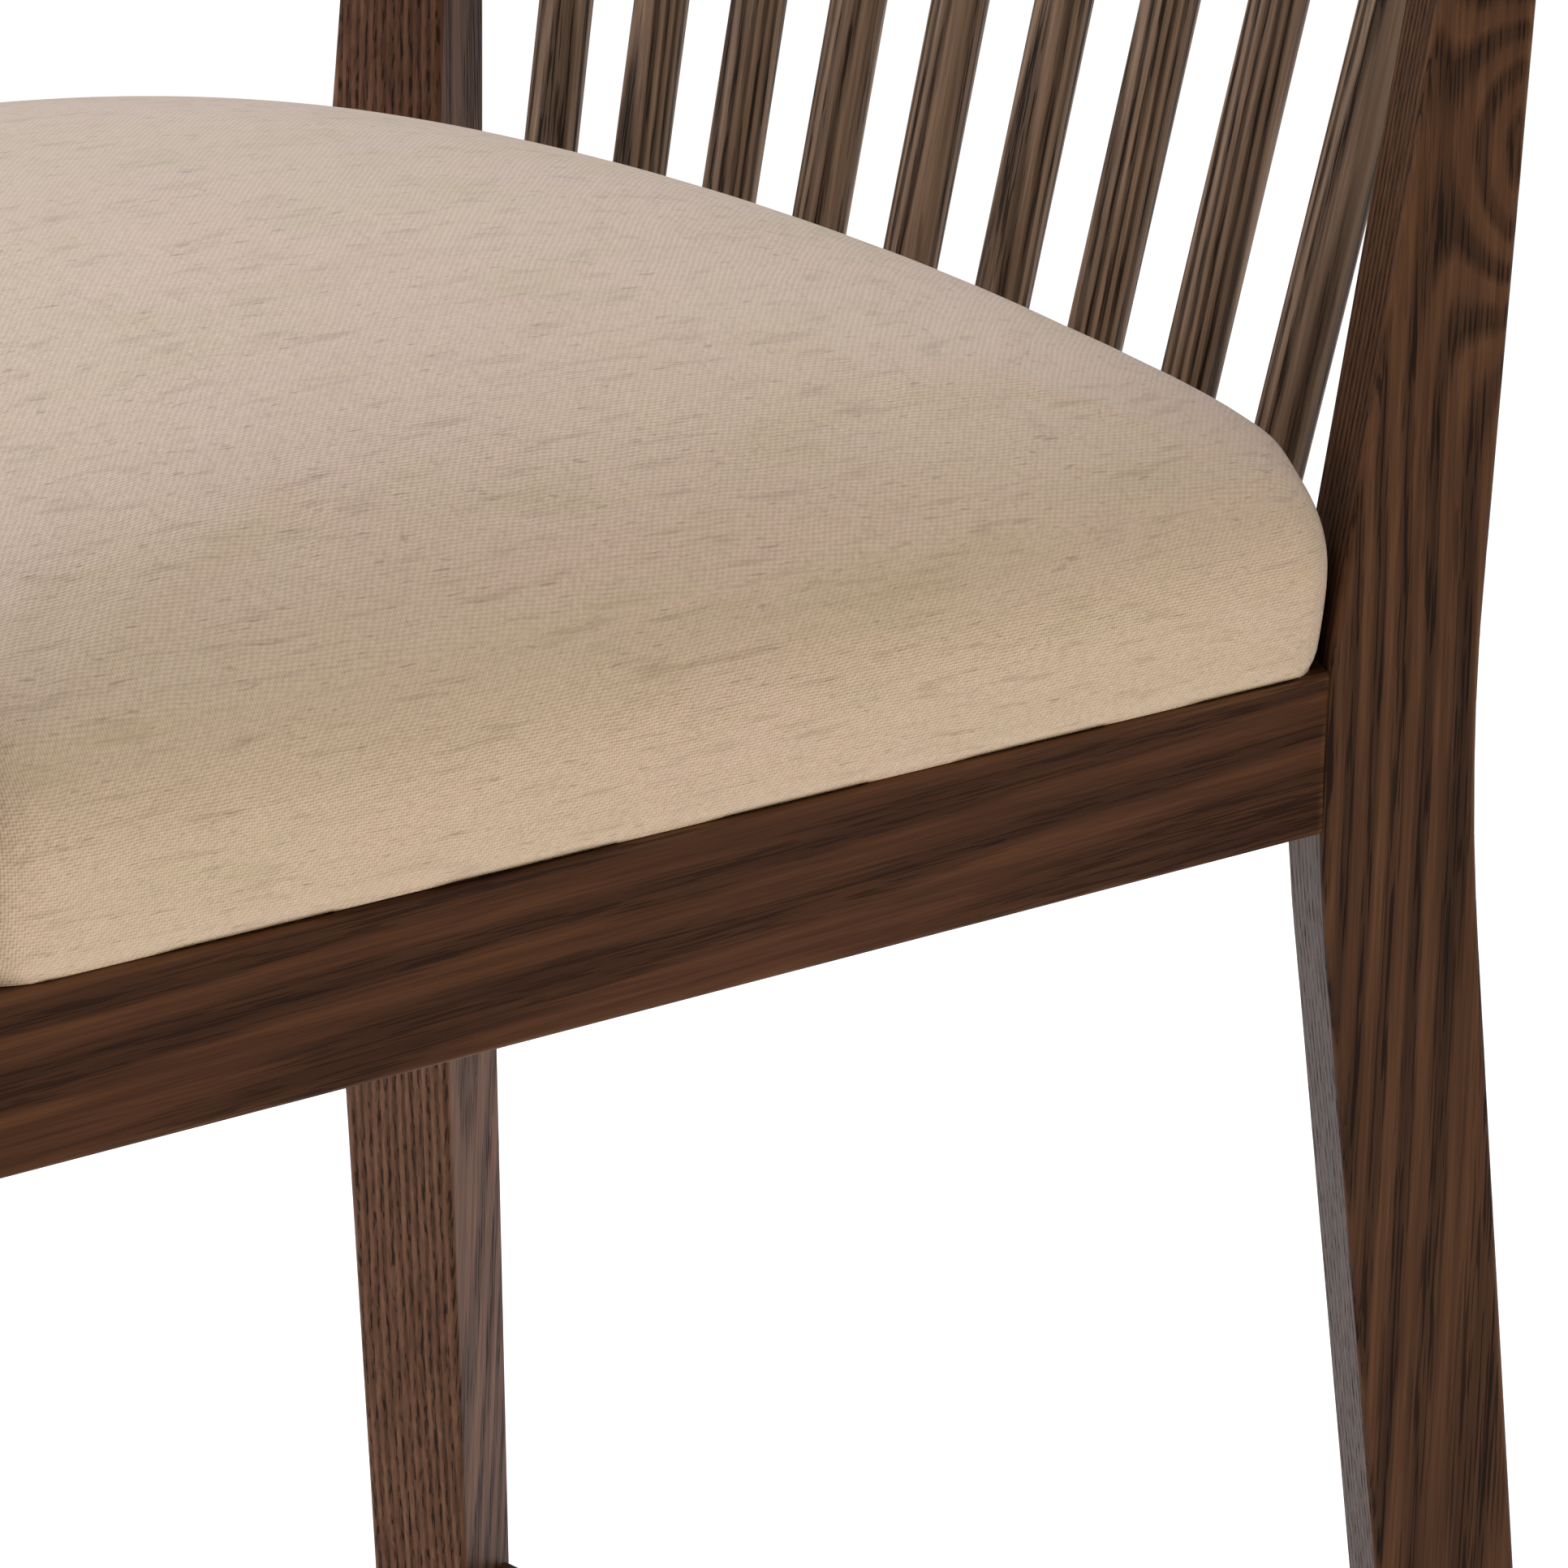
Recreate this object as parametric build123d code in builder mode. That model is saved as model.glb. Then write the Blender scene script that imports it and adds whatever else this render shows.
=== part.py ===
from build123d import *
import math
import os

# A spindle-back wooden armchair with a fixed upholstered seat, in millimetres.
# +Z is up from the floor, +Y is towards the back, +X is the sitter's left, and X = 0 is the
# middle of the chair. The origin is on the floor under the middle of the chair.
# Left-hand pieces are built at +X, and their right-hand twins are mirrored from them.

os.makedirs("parts", exist_ok=True)

# ---- driving dimensions -------------------------------------------------------------------

# Heights above the floor
RAIL_BOTTOM = 395.0
RAIL_HEIGHT = 40.0
RAIL_TOP = RAIL_BOTTOM + RAIL_HEIGHT
ARM_UNDERSIDE = 660.0
STRETCHER_TOP = 65.0
SIDE_STRETCHER_TOP = 50.0

# Rear post: a rectangle turned about the vertical, bent at seat height, tapered both ways
REAR_BEND = (202.4, 191.0)
REAR_BEND_Z = 412.0
REAR_TURN = 29.0
REAR_LEAN_BELOW = (-0.0526, -0.0721)
REAR_LEAN_ABOVE = (0.0533, 0.0989)
REAR_WIDTH = (38.0, 0.0236, -0.0476)
REAR_DEPTH = (39.1, 0.019, -0.0806)

# Front post: square to the chair, splayed a little below the seat, leaning out above it
FRONT_BEND = (220.0, -255.5)
FRONT_BEND_Z = 420.0
FRONT_LEAN_BELOW = (-0.030, 0.020)
FRONT_LEAN_ABOVE = (0.112, 0.045)
FRONT_WIDTH = (37.0, 0.024, -0.050)
FRONT_DEPTH = (37.0, 0.024, -0.056)

BEND_REACH = 45.0
POST_SECTIONS = 22
POST_ARRIS = 2.0
POST_TENON_RADIUS = 7.0
POST_TENON_LENGTH = 15.0

# Seat rails
RAIL_OUTER_X = 210.4
RAIL_OUTER_Y = 166.4
RAIL_SPLAY = 0.066
SIDE_RAIL_THICKNESS = 24.0
FRONT_RAIL_FACE_Y = -272.0
FRONT_RAIL_THICKNESS = 24.0
REAR_RAIL_CENTRE_Y = 193.5
REAR_RAIL_THICKNESS = 32.0
RAIL_ARRIS = 1.5
REAR_TENON_Y = 198.0

# Spindles: evenly spaced along the rear rail, fanning out and leaning back
SPINDLE_COUNT = 9
SPINDLE_RADIUS = 7.5
SPINDLE_PITCH = 37.1
SPINDLE_ROW_Y = 196.7
SPINDLE_ROW_BOW = 0.037
SPINDLE_FAN = 0.0239
SPINDLE_LEAN = 0.2497
SPINDLE_LEAN_LOSS = 0.0019
SPINDLE_TENON_RADIUS = 5.5
SPINDLE_TENON_LENGTH = 20.0

# Crest rail and arms: one horseshoe, centre line from the middle of the back to the arm tip
HORSESHOE_POINTS = (
    (0.0, 252.2),
    (80.0, 250.7),
    (150.0, 246.0),
    (190.0, 232.5),
    (218.0, 211.5),
    (240.0, 180.0),
    (251.0, 135.0),
    (254.5, 70.0),
    (254.0, -30.0),
    (251.0, -130.0),
    (246.5, -230.0),
    (243.5, -276.0),
)
ARM_JOINT = 0.41
CREST_SPANS = 7
ARM_SPANS = 9
CREST_SECTION = (29.0, 62.0, 0.20)
ARM_SECTION = (47.0, 26.0, 0.0)
ARM_TIP_EDGE = 5.0
SECTION_CHANGE = (0.14, 0.52)
TOP_RAIL_EDGE = 8.0

# Stretchers
STRETCHER_HEIGHT = 26.0
FRONT_STRETCHER_SHIFT = 2.0
STRETCHER_THICKNESS = 20.0
REAR_STRETCHER_Y = 226.5
STRETCHER_ARRIS = 3.0
SIDE_STRETCHER_SHIFT = (-7.5, 1.0)

# How far a rail's end runs into a post before the post cuts it to fit
BITE = 3.0

# Floating tenons: thickness, height, and depth into the leg and into the rail
RAIL_TENON = (10.0, 24.0, 14.0, 22.0)
STRETCHER_TENON = (7.0, 16.0, 9.0, 20.0)
ARM_TENON = (8.0, 16.0, 18.0, 18.0)

# Seat: a plywood board with foam over it and a cover over both
BOARD_THICKNESS = 12.0
BOARD_INSET = 4.0
CUSHION_SHOULDER = 62.0
CUSHION_CROWN = 60.0
CUSHION_CROWN_POWER = 2.4
CUSHION_EDGE_DROP = 0.28
CUSHION_EDGE_REACH = 14.0
CUSHION_EDGE = 12.0
CUSHION_GRID = 24
CUSHION_OVERLAP = 8.0
COVER_THICKNESS = 1.2
SEAT_CLEARANCE = 1.2
SEAT_SPINDLE_GAP = 1.68
SEAT_NOTCH_GAP = 2.4
SEAT_REAR_Y = SPINDLE_ROW_Y - SPINDLE_RADIUS - SEAT_SPINDLE_GAP
SEAT_CORNER = 17.5
DUST_COVER_THICKNESS = 1.0
DUST_COVER_GAP = 3.0

# Hardware
SCREW_RADIUS = 2.0
SCREW_HEAD_RADIUS = 4.0
SCREW_HEAD_HEIGHT = 2.5
BLOCK_HEIGHT = 24.0
BLOCK_SCREW_LENGTH = 27.0
SEAT_SCREW_LENGTH = 32.0
STAPLE_CROWN = 10.0
STAPLE_WIRE = 1.0
STAPLE_LEG = 6.0
STAPLES_PER_EDGE = 7
STAPLE_FRONT_Y, STAPLE_REAR_Y = -236.0, 168.0
STAPLE_ROW_HALF = 110.0
STAPLE_SIDE_START, STAPLE_SIDE_LENGTH = 60.0, 274.0
STAPLE_SIDE_GAP = 12.0
GLIDE_CHAMFER = 0.8
SCREW_HEAD_TAPER = 38.6
BLOCK_SCREW_SETBACK = 12.0
BLOCK_GAP = 0.05
FRONT_BLOCK_REACH = (25.0, 64.0)
REAR_BLOCK_REACH = (30.0, 68.0)
DUST_NOTCH = 30.0
GLIDE_RADIUS = 9.5
GLIDE_THICKNESS = 3.0
NAIL_RADIUS = 1.2
NAIL_TOP = 20.0


# ---- geometry shared by several pieces ----------------------------------------------------


def bent(z, at_bend, below, above, bend_z):
    """A value that runs straight below the bend and straight above it, and curves between."""
    t = z - bend_z
    if t <= -BEND_REACH:
        return at_bend + below * t
    if t >= BEND_REACH:
        return at_bend + above * t
    curve = (above - below) * (t * t + BEND_REACH * BEND_REACH) / (4 * BEND_REACH)
    return at_bend + (below + above) / 2 * t + curve


def rear_centre(z):
    """The rear post's centre at a height."""
    x = bent(z, REAR_BEND[0], REAR_LEAN_BELOW[0], REAR_LEAN_ABOVE[0], REAR_BEND_Z)
    y = bent(z, REAR_BEND[1], REAR_LEAN_BELOW[1], REAR_LEAN_ABOVE[1], REAR_BEND_Z)
    return x, y


def front_centre(z):
    """The front post's centre at a height."""
    x = bent(z, FRONT_BEND[0], FRONT_LEAN_BELOW[0], FRONT_LEAN_ABOVE[0], FRONT_BEND_Z)
    y = bent(z, FRONT_BEND[1], FRONT_LEAN_BELOW[1], FRONT_LEAN_ABOVE[1], FRONT_BEND_Z)
    return x, y


def rear_front_face_y(z, x):
    """Where the rear post's front face stands, at a height and a distance from the middle."""
    turn = math.radians(REAR_TURN)
    centre_x, centre_y = rear_centre(z)
    half_depth = bent(z, *REAR_DEPTH, REAR_BEND_Z) / 2
    return centre_y - (half_depth + (x - centre_x) * math.sin(turn)) / math.cos(turn)


def rear_inner_face_x(z, y):
    """Where the rear post's inner face stands, at a height and a distance towards the back."""
    turn = math.radians(REAR_TURN)
    centre_x, centre_y = rear_centre(z)
    half_width = bent(z, *REAR_WIDTH, REAR_BEND_Z) / 2
    return centre_x + ((y - centre_y) * math.sin(turn) - half_width) / math.cos(turn)


def rail_outer_x(y):
    """The side rail's outer face, which splays out towards the front."""
    return RAIL_OUTER_X + RAIL_SPLAY * (RAIL_OUTER_Y - y)


def spindle_axis(number, z):
    """The axis of a spindle, counted from the middle one, as a plane across it at a height."""
    lean = SPINDLE_LEAN - SPINDLE_LEAN_LOSS * number * number
    direction = Vector(SPINDLE_FAN * number, lean, 1.0)
    foot = Vector(SPINDLE_PITCH * number, SPINDLE_ROW_Y - SPINDLE_ROW_BOW * number * number, RAIL_TOP)
    return Plane(origin=foot + direction * (z - RAIL_TOP), z_dir=direction)


def top_rail_sizes(station):
    """Width, height and backward lean of the horseshoe rail's section at a station."""
    start, end = SECTION_CHANGE
    t = min(max((station - start) / (end - start), 0.0), 1.0)
    blend = t * t * (3 - 2 * t)
    return [crest + (arm - crest) * blend for crest, arm in zip(CREST_SECTION, ARM_SECTION)]


with BuildLine() as horseshoe:
    Spline(*HORSESHOE_POINTS, tangents=((1.0, 0.0), (-0.06, -1.0)))


def top_rail_plane(station, side=1):
    """A plane across the horseshoe rail, its X outwards and its Y up."""
    place = horseshoe.edge() @ station
    along = horseshoe.edge() % station
    origin = (side * place.X, place.Y, ARM_UNDERSIDE)
    return Plane(origin=origin, x_dir=(-side * along.Y, along.X, 0), z_dir=(along.X, side * along.Y, 0))


def top_rail_section(station, side=1):
    """The horseshoe rail's section: upright, leaning back with the spindles, well rounded."""
    width, height, lean = top_rail_sizes(station)
    with BuildSketch(top_rail_plane(station, side)) as section:
        with BuildLine():
            Polyline(
                (-width / 2, 0),
                (width / 2, 0),
                (width / 2 + lean * height, height),
                (-width / 2 + lean * height, height),
                close=True,
            )
        make_face()
        fillet(section.vertices(), TOP_RAIL_EDGE)
    return section.sketch


def seat_outline(inset):
    """The seat's plan, cut back at the four posts, drawn this far inside its outer edge."""
    turn = math.radians(REAR_TURN)
    post_x, post_y = rear_centre(RAIL_TOP)
    half_width = REAR_WIDTH[0] / 2
    half_depth = REAR_DEPTH[0] / 2 + SEAT_CLEARANCE
    face_x = post_x - half_depth * math.sin(turn)
    face_y = post_y - half_depth * math.cos(turn)
    corner = (face_x + half_width * math.cos(turn), face_y - half_width * math.sin(turn))
    rear_y = SEAT_REAR_Y
    rear_x = face_x - (rear_y - face_y) / math.tan(turn)
    notch_y = front_centre(RAIL_TOP + CUSHION_SHOULDER)[1] + FRONT_DEPTH[0] / 2 + SEAT_NOTCH_GAP
    notch_x = FRONT_BEND[0] - FRONT_WIDTH[0] / 2 - SEAT_CLEARANCE
    half = [
        (rear_x, rear_y),
        corner,
        (rail_outer_x(notch_y), notch_y),
        (notch_x, notch_y),
        (notch_x, FRONT_RAIL_FACE_Y),
    ]
    points = half + [(-x, y) for x, y in reversed(half)]
    with BuildSketch(mode=Mode.PRIVATE) as plan:
        with BuildLine():
            Polyline(*points, close=True)
        make_face()
        fillet(plan.vertices(), SEAT_CORNER)
        if inset:
            offset(amount=-inset, kind=Kind.ARC)
    return plan.sketch


# ---- floating tenons ----------------------------------------------------------------------


def tenon(place, along, size):
    """One floating tenon, centred on the joint at place, running along a horizontal direction."""
    thickness, height, in_leg, in_rail = size
    start = Vector(*place) - Vector(*along) * in_rail
    with BuildSketch(Plane(origin=start, x_dir=(0, 0, 1), z_dir=along)) as profile:
        SlotOverall(height, thickness)
    extrude(profile.sketch, amount=in_leg + in_rail)


def rail_joints():
    """Where the left-hand ends of the seat rails meet the posts, and the way into each post."""
    z = RAIL_BOTTOM + RAIL_HEIGHT / 2
    side_x = rail_outer_x(RAIL_OUTER_Y) - SIDE_RAIL_THICKNESS / 2
    front_x, front_y = front_centre(z)
    front_side_x = rail_outer_x(front_y) - SIDE_RAIL_THICKNESS / 2
    front_rail_y = FRONT_RAIL_FACE_Y + FRONT_RAIL_THICKNESS / 2
    return [
        ((side_x, rear_front_face_y(z, side_x), z), (0, 1, 0)),
        ((front_side_x, front_y + FRONT_DEPTH[0] / 2, z), (0, -1, 0)),
        ((front_x - FRONT_WIDTH[0] / 2, front_rail_y, z), (1, 0, 0)),
        ((rear_inner_face_x(z, REAR_TENON_Y), REAR_TENON_Y, z), (1, 0, 0)),
    ]


def stretcher_joints():
    """Where the left-hand ends of the stretchers meet the legs, and the way into each leg."""
    z = STRETCHER_TOP - STRETCHER_HEIGHT / 2
    side_z = SIDE_STRETCHER_TOP - STRETCHER_HEIGHT / 2
    front_x, front_y = front_centre(z)
    side_x = rear_centre(side_z)[0] + SIDE_STRETCHER_SHIFT[0]
    half_leg = bent(z, *FRONT_WIDTH, FRONT_BEND_Z) / 2
    return [
        ((side_x, rear_front_face_y(side_z, side_x), side_z), (0, 1, 0)),
        ((front_x + SIDE_STRETCHER_SHIFT[1], front_y + half_leg, side_z), (0, -1, 0)),
        ((front_x - half_leg, front_y - FRONT_STRETCHER_SHIFT, z), (1, 0, 0)),
        ((rear_inner_face_x(z, REAR_STRETCHER_Y), REAR_STRETCHER_Y, z), (1, 0, 0)),
    ]


def tenon_group(joints, size):
    """All the tenons of one size, left and right."""
    with BuildPart() as group:
        for place, along in joints:
            tenon(place, along, size)
        mirror(about=Plane.YZ)
    return group


rail_tenons = tenon_group(rail_joints(), RAIL_TENON)
stretcher_tenons = tenon_group(stretcher_joints(), STRETCHER_TENON)

with BuildPart() as arm_tenons:
    joint_plane = top_rail_plane(ARM_JOINT)
    joint_height = top_rail_sizes(ARM_JOINT)[1]
    with BuildSketch(joint_plane):
        with Locations((0, joint_height / 2)):
            SlotOverall(ARM_TENON[1], ARM_TENON[0], rotation=90)
    extrude(amount=ARM_TENON[2], both=True)
    mirror(about=Plane.YZ)


# ---- glides -------------------------------------------------------------------------------

FEET = [rear_centre(GLIDE_THICKNESS), front_centre(GLIDE_THICKNESS)]

with BuildPart() as glide_nails:
    with BuildSketch(Plane.XY.offset(GLIDE_THICKNESS / 2)):
        with Locations(*FEET):
            Circle(NAIL_RADIUS)
    extrude(amount=NAIL_TOP - GLIDE_THICKNESS / 2)
    mirror(about=Plane.YZ)

with BuildPart() as glides:
    with BuildSketch():
        with Locations(*FEET):
            Circle(GLIDE_RADIUS)
    extrude(amount=GLIDE_THICKNESS)
    chamfer(glides.edges().group_by(Axis.Z)[0], GLIDE_CHAMFER)
    mirror(about=Plane.YZ)
    add(glide_nails.part, mode=Mode.SUBTRACT)


# ---- posts --------------------------------------------------------------------------------


def post(centre, turn, width, depth, bend_z):
    """A post from floor to arm, with a round tenon on top and mortises for what joins it."""
    angle = math.radians(turn)
    with BuildPart() as piece:
        for section in range(POST_SECTIONS):
            z = GLIDE_THICKNESS + (ARM_UNDERSIDE - GLIDE_THICKNESS) * section / (POST_SECTIONS - 1)
            x, y = centre(z)
            across = (math.cos(angle), -math.sin(angle), 0)
            with BuildSketch(Plane(origin=(x, y, z), x_dir=across, z_dir=(0, 0, 1))):
                RectangleRounded(bent(z, *width, bend_z), bent(z, *depth, bend_z), POST_ARRIS)
        loft()
        with BuildSketch(Plane.XY.offset(ARM_UNDERSIDE)):
            with Locations(centre(ARM_UNDERSIDE)):
                Circle(POST_TENON_RADIUS)
        extrude(amount=POST_TENON_LENGTH)
        for inner in (rail_tenons, stretcher_tenons, glide_nails):
            add(inner.part, mode=Mode.SUBTRACT)
    return piece


rear_post_left = post(rear_centre, REAR_TURN, REAR_WIDTH, REAR_DEPTH, REAR_BEND_Z)
front_post_left = post(front_centre, 0.0, FRONT_WIDTH, FRONT_DEPTH, FRONT_BEND_Z)

with BuildPart() as rear_post_right:
    mirror(rear_post_left.part, about=Plane.YZ)

with BuildPart() as front_post_right:
    mirror(front_post_left.part, about=Plane.YZ)

POSTS = (rear_post_left, rear_post_right, front_post_left, front_post_right)


# ---- spindles -----------------------------------------------------------------------------


def spindle(number):
    """A round spindle between the rear rail and the crest rail, with a tenon at each end."""
    with BuildPart() as piece:
        with BuildSketch(spindle_axis(number, RAIL_TOP - SPINDLE_TENON_LENGTH)):
            Circle(SPINDLE_RADIUS)
        extrude(amount=ARM_UNDERSIDE - RAIL_TOP + 3 * SPINDLE_TENON_LENGTH)
        split(bisect_by=Plane.XY.offset(RAIL_TOP), keep=Keep.TOP)
        split(bisect_by=Plane.XY.offset(ARM_UNDERSIDE), keep=Keep.BOTTOM)
        spindle_core(number, Mode.ADD)
    return piece


def spindle_core(number, mode):
    """The thin core that makes both tenons of a spindle, and the sockets that they fit."""
    length = ARM_UNDERSIDE - RAIL_TOP + 2 * SPINDLE_TENON_LENGTH
    with BuildSketch(spindle_axis(number, RAIL_TOP - SPINDLE_TENON_LENGTH)) as profile:
        Circle(SPINDLE_TENON_RADIUS)
    extrude(profile.sketch, amount=length, mode=mode)


MIDDLE = SPINDLE_COUNT // 2
SPINDLE_NUMBERS = range(-MIDDLE, MIDDLE + 1)
spindles = {f"spindle_{number + MIDDLE + 1}": spindle(number) for number in SPINDLE_NUMBERS}


# ---- crest rail and arms ------------------------------------------------------------------

with BuildPart() as crest_rail:
    steps = [ARM_JOINT * step / CREST_SPANS for step in range(-CREST_SPANS, CREST_SPANS + 1)]
    loft([top_rail_section(abs(step), side=-1 if step < 0 else 1) for step in steps])
    for number in SPINDLE_NUMBERS:
        spindle_core(number, Mode.SUBTRACT)
    for piece in (arm_tenons, rear_post_left, rear_post_right):
        add(piece.part, mode=Mode.SUBTRACT)

with BuildPart() as arm_left:
    steps = [ARM_JOINT + (1 - ARM_JOINT) * step / ARM_SPANS for step in range(ARM_SPANS + 1)]
    loft([top_rail_section(step) for step in steps])
    tip = arm_left.faces().sort_by(Axis.Y)[0]
    fillet(tip.edges(), ARM_TIP_EDGE)
    for piece in (arm_tenons, front_post_left):
        add(piece.part, mode=Mode.SUBTRACT)

with BuildPart() as arm_right:
    mirror(arm_left.part, about=Plane.YZ)


# ---- seat rails and stretchers ------------------------------------------------------------


def bar(outline, bottom, height, arris, cut_by):
    """A straight bar with eased long edges, cut to fit the posts and the joints' tenons."""
    with BuildPart() as piece:
        with BuildSketch(Plane.XY.offset(bottom)):
            with BuildLine():
                Polyline(*outline, close=True)
            make_face()
        extrude(amount=height)
        long_edges = piece.edges().filter_by(Axis.Z, reverse=True).sort_by(SortBy.LENGTH)[-4:]
        fillet(long_edges, arris)
        for other in cut_by:
            add(other.part, mode=Mode.SUBTRACT)
    return piece


def side_rail_outline():
    """The side rail's plan, running into both posts, which then cut it to length."""
    z = RAIL_BOTTOM + RAIL_HEIGHT / 2
    front_y = FRONT_BEND[1]
    outer_x = rail_outer_x(RAIL_OUTER_Y)
    inner_x = outer_x - SIDE_RAIL_THICKNESS
    rear_outer_y = rear_front_face_y(z, outer_x) + BITE
    rear_inner_y = rear_front_face_y(z, inner_x) + BITE
    return [
        (rail_outer_x(rear_outer_y), rear_outer_y),
        (rail_outer_x(rear_inner_y) - SIDE_RAIL_THICKNESS, rear_inner_y),
        (rail_outer_x(front_y) - SIDE_RAIL_THICKNESS, front_y),
        (rail_outer_x(front_y), front_y),
    ]


def cross_bar_outline(half_length, centre_y, thickness):
    """The plan of a bar that runs from side to side."""
    near, far = centre_y - thickness / 2, centre_y + thickness / 2
    return [(-half_length, near), (half_length, near), (half_length, far), (-half_length, far)]


def rear_bar_outline(z, centre_y, thickness):
    """The plan of a bar between the rear posts, its ends parallel to their inner faces."""
    near, far = centre_y - thickness / 2, centre_y + thickness / 2
    near_x, far_x = [rear_inner_face_x(z, y) + BITE / 2 for y in (near, far)]
    return [(-near_x, near), (near_x, near), (far_x, far), (-far_x, far)]


def side_stretcher_outline():
    """The side stretcher's plan, between the centres of the two legs."""
    z = SIDE_STRETCHER_TOP - STRETCHER_HEIGHT / 2
    half = STRETCHER_THICKNESS / 2
    rear_x = rear_centre(z)[0] + SIDE_STRETCHER_SHIFT[0]
    front_x = front_centre(z)[0] + SIDE_STRETCHER_SHIFT[1]
    front_y = front_centre(z)[1]
    return [
        (rear_x + half, rear_front_face_y(z, rear_x + half) + BITE),
        (rear_x - half, rear_front_face_y(z, rear_x - half) + BITE),
        (front_x - half, front_y),
        (front_x + half, front_y),
    ]


side_rail_left = bar(
    side_rail_outline(), RAIL_BOTTOM, RAIL_HEIGHT, RAIL_ARRIS, (*POSTS, rail_tenons)
)
rear_rail = bar(
    rear_bar_outline(RAIL_TOP, REAR_RAIL_CENTRE_Y, REAR_RAIL_THICKNESS),
    RAIL_BOTTOM, RAIL_HEIGHT, RAIL_ARRIS, (*POSTS, rail_tenons, *spindles.values()),
)
front_rail = bar(
    cross_bar_outline(FRONT_BEND[0], FRONT_RAIL_FACE_Y + FRONT_RAIL_THICKNESS / 2, FRONT_RAIL_THICKNESS),
    RAIL_BOTTOM, RAIL_HEIGHT, RAIL_ARRIS, (*POSTS, rail_tenons),
)
side_stretcher_left = bar(
    side_stretcher_outline(), SIDE_STRETCHER_TOP - STRETCHER_HEIGHT, STRETCHER_HEIGHT,
    STRETCHER_ARRIS, (*POSTS, stretcher_tenons),
)
rear_stretcher = bar(
    rear_bar_outline(STRETCHER_TOP - STRETCHER_HEIGHT, REAR_STRETCHER_Y, STRETCHER_THICKNESS),
    STRETCHER_TOP - STRETCHER_HEIGHT, STRETCHER_HEIGHT, STRETCHER_ARRIS, (*POSTS, stretcher_tenons),
)
front_stretcher = bar(
    cross_bar_outline(
        front_centre(STRETCHER_TOP)[0], front_centre(STRETCHER_TOP)[1] - FRONT_STRETCHER_SHIFT,
        STRETCHER_THICKNESS,
    ),
    STRETCHER_TOP - STRETCHER_HEIGHT, STRETCHER_HEIGHT, STRETCHER_ARRIS, (*POSTS, stretcher_tenons),
)


# ---- corner blocks and screws -------------------------------------------------------------


def corner_block_outline(rail_y, to_middle, near, far):
    """A block across an inside corner: near and far are its reaches from the corner."""
    side_near, side_far = rail_y + to_middle * near, rail_y + to_middle * far
    inner = [rail_outer_x(y) - SIDE_RAIL_THICKNESS - BLOCK_GAP for y in (side_near, side_far)]
    return [
        (inner[0], side_near),
        (inner[1], side_far),
        (inner[0] - far, rail_y),
        (inner[0] - near, rail_y),
    ]


FRONT_BLOCK = corner_block_outline(FRONT_RAIL_FACE_Y + FRONT_RAIL_THICKNESS, 1, *FRONT_BLOCK_REACH)
REAR_BLOCK = corner_block_outline(REAR_RAIL_CENTRE_Y - REAR_RAIL_THICKNESS / 2, -1, *REAR_BLOCK_REACH)


def screw(plane, length):
    """A countersunk wood screw, its head at the plane and its point along the plane's Z."""
    with BuildSketch(plane) as head:
        Circle(SCREW_HEAD_RADIUS)
    extrude(head.sketch, amount=SCREW_HEAD_HEIGHT, taper=SCREW_HEAD_TAPER)
    with BuildSketch(plane) as shank:
        Circle(SCREW_RADIUS)
    extrude(shank.sketch, amount=length)


def block_middle(outline):
    """The middle of a corner block's plan."""
    return [sum(point[axis] for point in outline) / len(outline) for axis in (0, 1)]


with BuildPart() as block_screws:
    screw_z = RAIL_TOP - BLOCK_HEIGHT / 2
    for outline, way in ((FRONT_BLOCK, -1), (REAR_BLOCK, 1)):
        side_y = (outline[0][1] + 2 * outline[1][1]) / 3
        cross_x = (outline[3][0] + 2 * outline[2][0]) / 3
        across = Plane(origin=(outline[1][0] - BLOCK_SCREW_SETBACK, side_y, screw_z), z_dir=(1, 0, 0))
        along = Plane(origin=(cross_x, outline[2][1] - way * BLOCK_SCREW_SETBACK, screw_z), z_dir=(0, way, 0))
        screw(across, BLOCK_SCREW_LENGTH)
        screw(along, BLOCK_SCREW_LENGTH)
    mirror(about=Plane.YZ)

with BuildPart() as seat_screws:
    for outline in (FRONT_BLOCK, REAR_BLOCK):
        middle_x, middle_y = block_middle(outline)
        screw(Plane(origin=(middle_x, middle_y, RAIL_TOP - BLOCK_HEIGHT), z_dir=(0, 0, 1)), SEAT_SCREW_LENGTH)
    mirror(about=Plane.YZ)


def corner_block(outline):
    """A corner block with its screw holes."""
    with BuildPart() as piece:
        with BuildSketch(Plane.XY.offset(RAIL_TOP - BLOCK_HEIGHT)):
            with BuildLine():
                Polyline(*outline, close=True)
            make_face()
        extrude(amount=BLOCK_HEIGHT)
        for screws in (block_screws, seat_screws):
            add(screws.part, mode=Mode.SUBTRACT)
    return piece


corner_block_front_left = corner_block(FRONT_BLOCK)
corner_block_rear_left = corner_block(REAR_BLOCK)

with BuildPart() as corner_block_front_right:
    mirror(corner_block_front_left.part, about=Plane.YZ)

with BuildPart() as corner_block_rear_right:
    mirror(corner_block_rear_left.part, about=Plane.YZ)


# ---- seat ---------------------------------------------------------------------------------


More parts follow.
